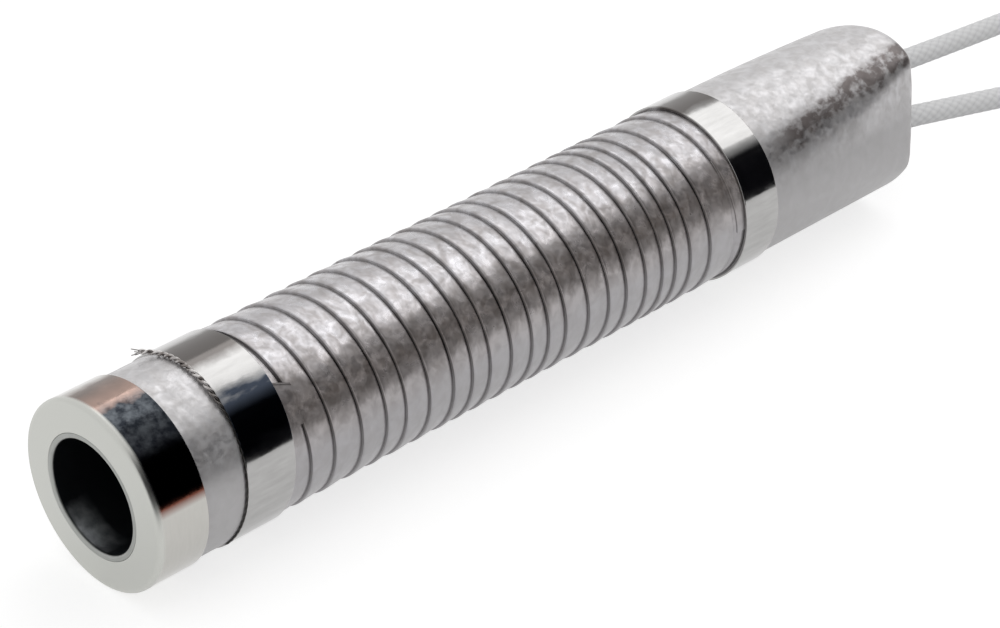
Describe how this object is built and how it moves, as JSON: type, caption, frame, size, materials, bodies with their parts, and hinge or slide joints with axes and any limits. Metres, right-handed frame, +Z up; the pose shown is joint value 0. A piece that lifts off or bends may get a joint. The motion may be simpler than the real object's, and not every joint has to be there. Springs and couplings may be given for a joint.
{
  "type": "soldering iron heating element",
  "caption": "Tubular mica-insulated heater for a soldering iron, bound with wound steel strip between polished bands, with a bore for the tip and two braided leads.",
  "frame": {"origin": "centre of the tip bore's mouth, in the plane of the polished front face", "axes": "+X along the bore towards the rear, where the leads leave; +Z up, with the element lying on its collar and its leads; +Y to the left as seen from the front face looking rearward"},
  "size_m": [0.125, 0.0143, 0.0104],
  "materials": {
    "collar_nickel": "polished",
    "band_nickel": "polished",
    "strip_steel": "satin, mottled",
    "sleeve_steel": "satin, mottled",
    "tube_steel": "dark oxide",
    "mica": "matt",
    "heating_wire": "satin",
    "ceramic": "matt",
    "crimp_steel": "satin",
    "glass_braid": "matt",
    "tinned_wire": "satin",
    "tie_steel": "bright"
  },
  "bodies": {
    "root": {"core_tube": "tube_steel", "front_collar": "collar_nickel", "front_mica_washer": "mica", "inner_mica": "mica", "heating_winding": "heating_wire", "outer_mica": "mica", "rear_mica_washer": "mica", "front_sleeve": "sleeve_steel", "binding_strip": "strip_steel", "front_band": "band_nickel", "rear_band": "band_nickel", "rear_sleeve": "sleeve_steel", "chamber_liner": "mica", "rear_insulator": "ceramic", "splice_crimp_a": "crimp_steel", "splice_crimp_b": "crimp_steel", "lead_sleeve_a": "glass_braid", "lead_sleeve_b": "glass_braid", "lead_wire_a": "tinned_wire", "lead_wire_b": "tinned_wire", "tie_wire": "tie_steel"}
  },
  "joints": []
}
